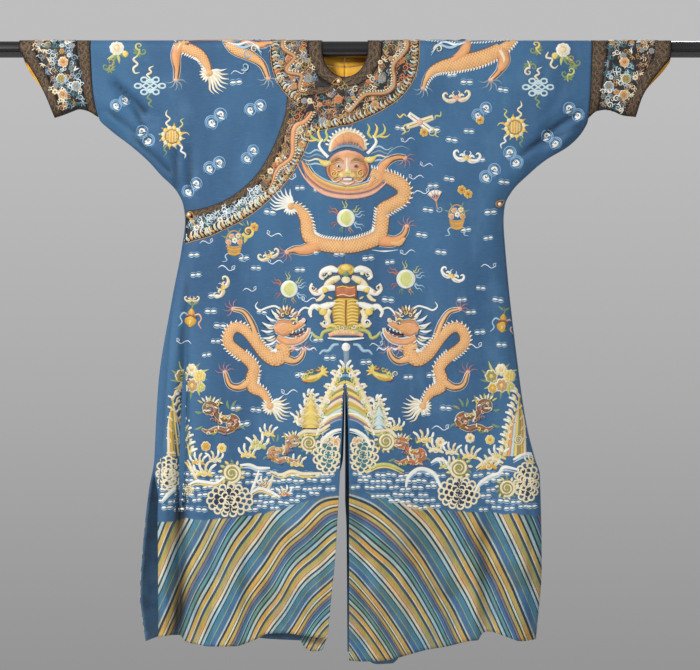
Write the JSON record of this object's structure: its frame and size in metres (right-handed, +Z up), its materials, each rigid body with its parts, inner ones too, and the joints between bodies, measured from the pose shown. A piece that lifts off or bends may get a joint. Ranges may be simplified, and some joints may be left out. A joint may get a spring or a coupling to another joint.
{
  "type": "chinese dragon robe on a hanging rod",
  "caption": "Full-length Chinese dragon robe with wide cuffs, a curved side-fastening overlap and a split skirt, hung through its sleeves on a straight round rod.",
  "frame": {"origin": "on the rod's axis, above the robe's centre seam", "axes": "+X to the wearer's left along the rod, -Y out of the front of the robe, +Z up"},
  "size_m": [1.6, 0.065, 1.3766],
  "materials": {
    "blue_silk": "blue satin-woven silk, embroidered",
    "black_silk": "black satin silk, embroidered",
    "brocade": "brown and gold figured trim",
    "black_lacquer": "glossy black paint",
    "coral": "polished cream and coral balls",
    "gold_cord": "gold-wrapped cord"
  },
  "bodies": {
    "root": {"rod": "black_lacquer", "left_body": "blue_silk", "right_body": "blue_silk", "overlap": "blue_silk", "overlap_binding": "brocade", "overlap_band": "black_silk", "neck_binding_left": "brocade", "neck_binding_right": "brocade", "collar_left": "black_silk", "collar_right": "black_silk", "cuff_left_inner_trim": "brocade", "cuff_left": "black_silk", "cuff_left_outer_trim": "brocade", "cuff_right_inner_trim": "brocade", "cuff_right": "black_silk", "cuff_right_outer_trim": "brocade", "button_neck": "coral", "loop_neck": "gold_cord", "button_right_underarm": "coral", "loop_right_underarm": "gold_cord", "button_left_underarm": "coral", "loop_left_underarm": "gold_cord"}
  },
  "joints": []
}
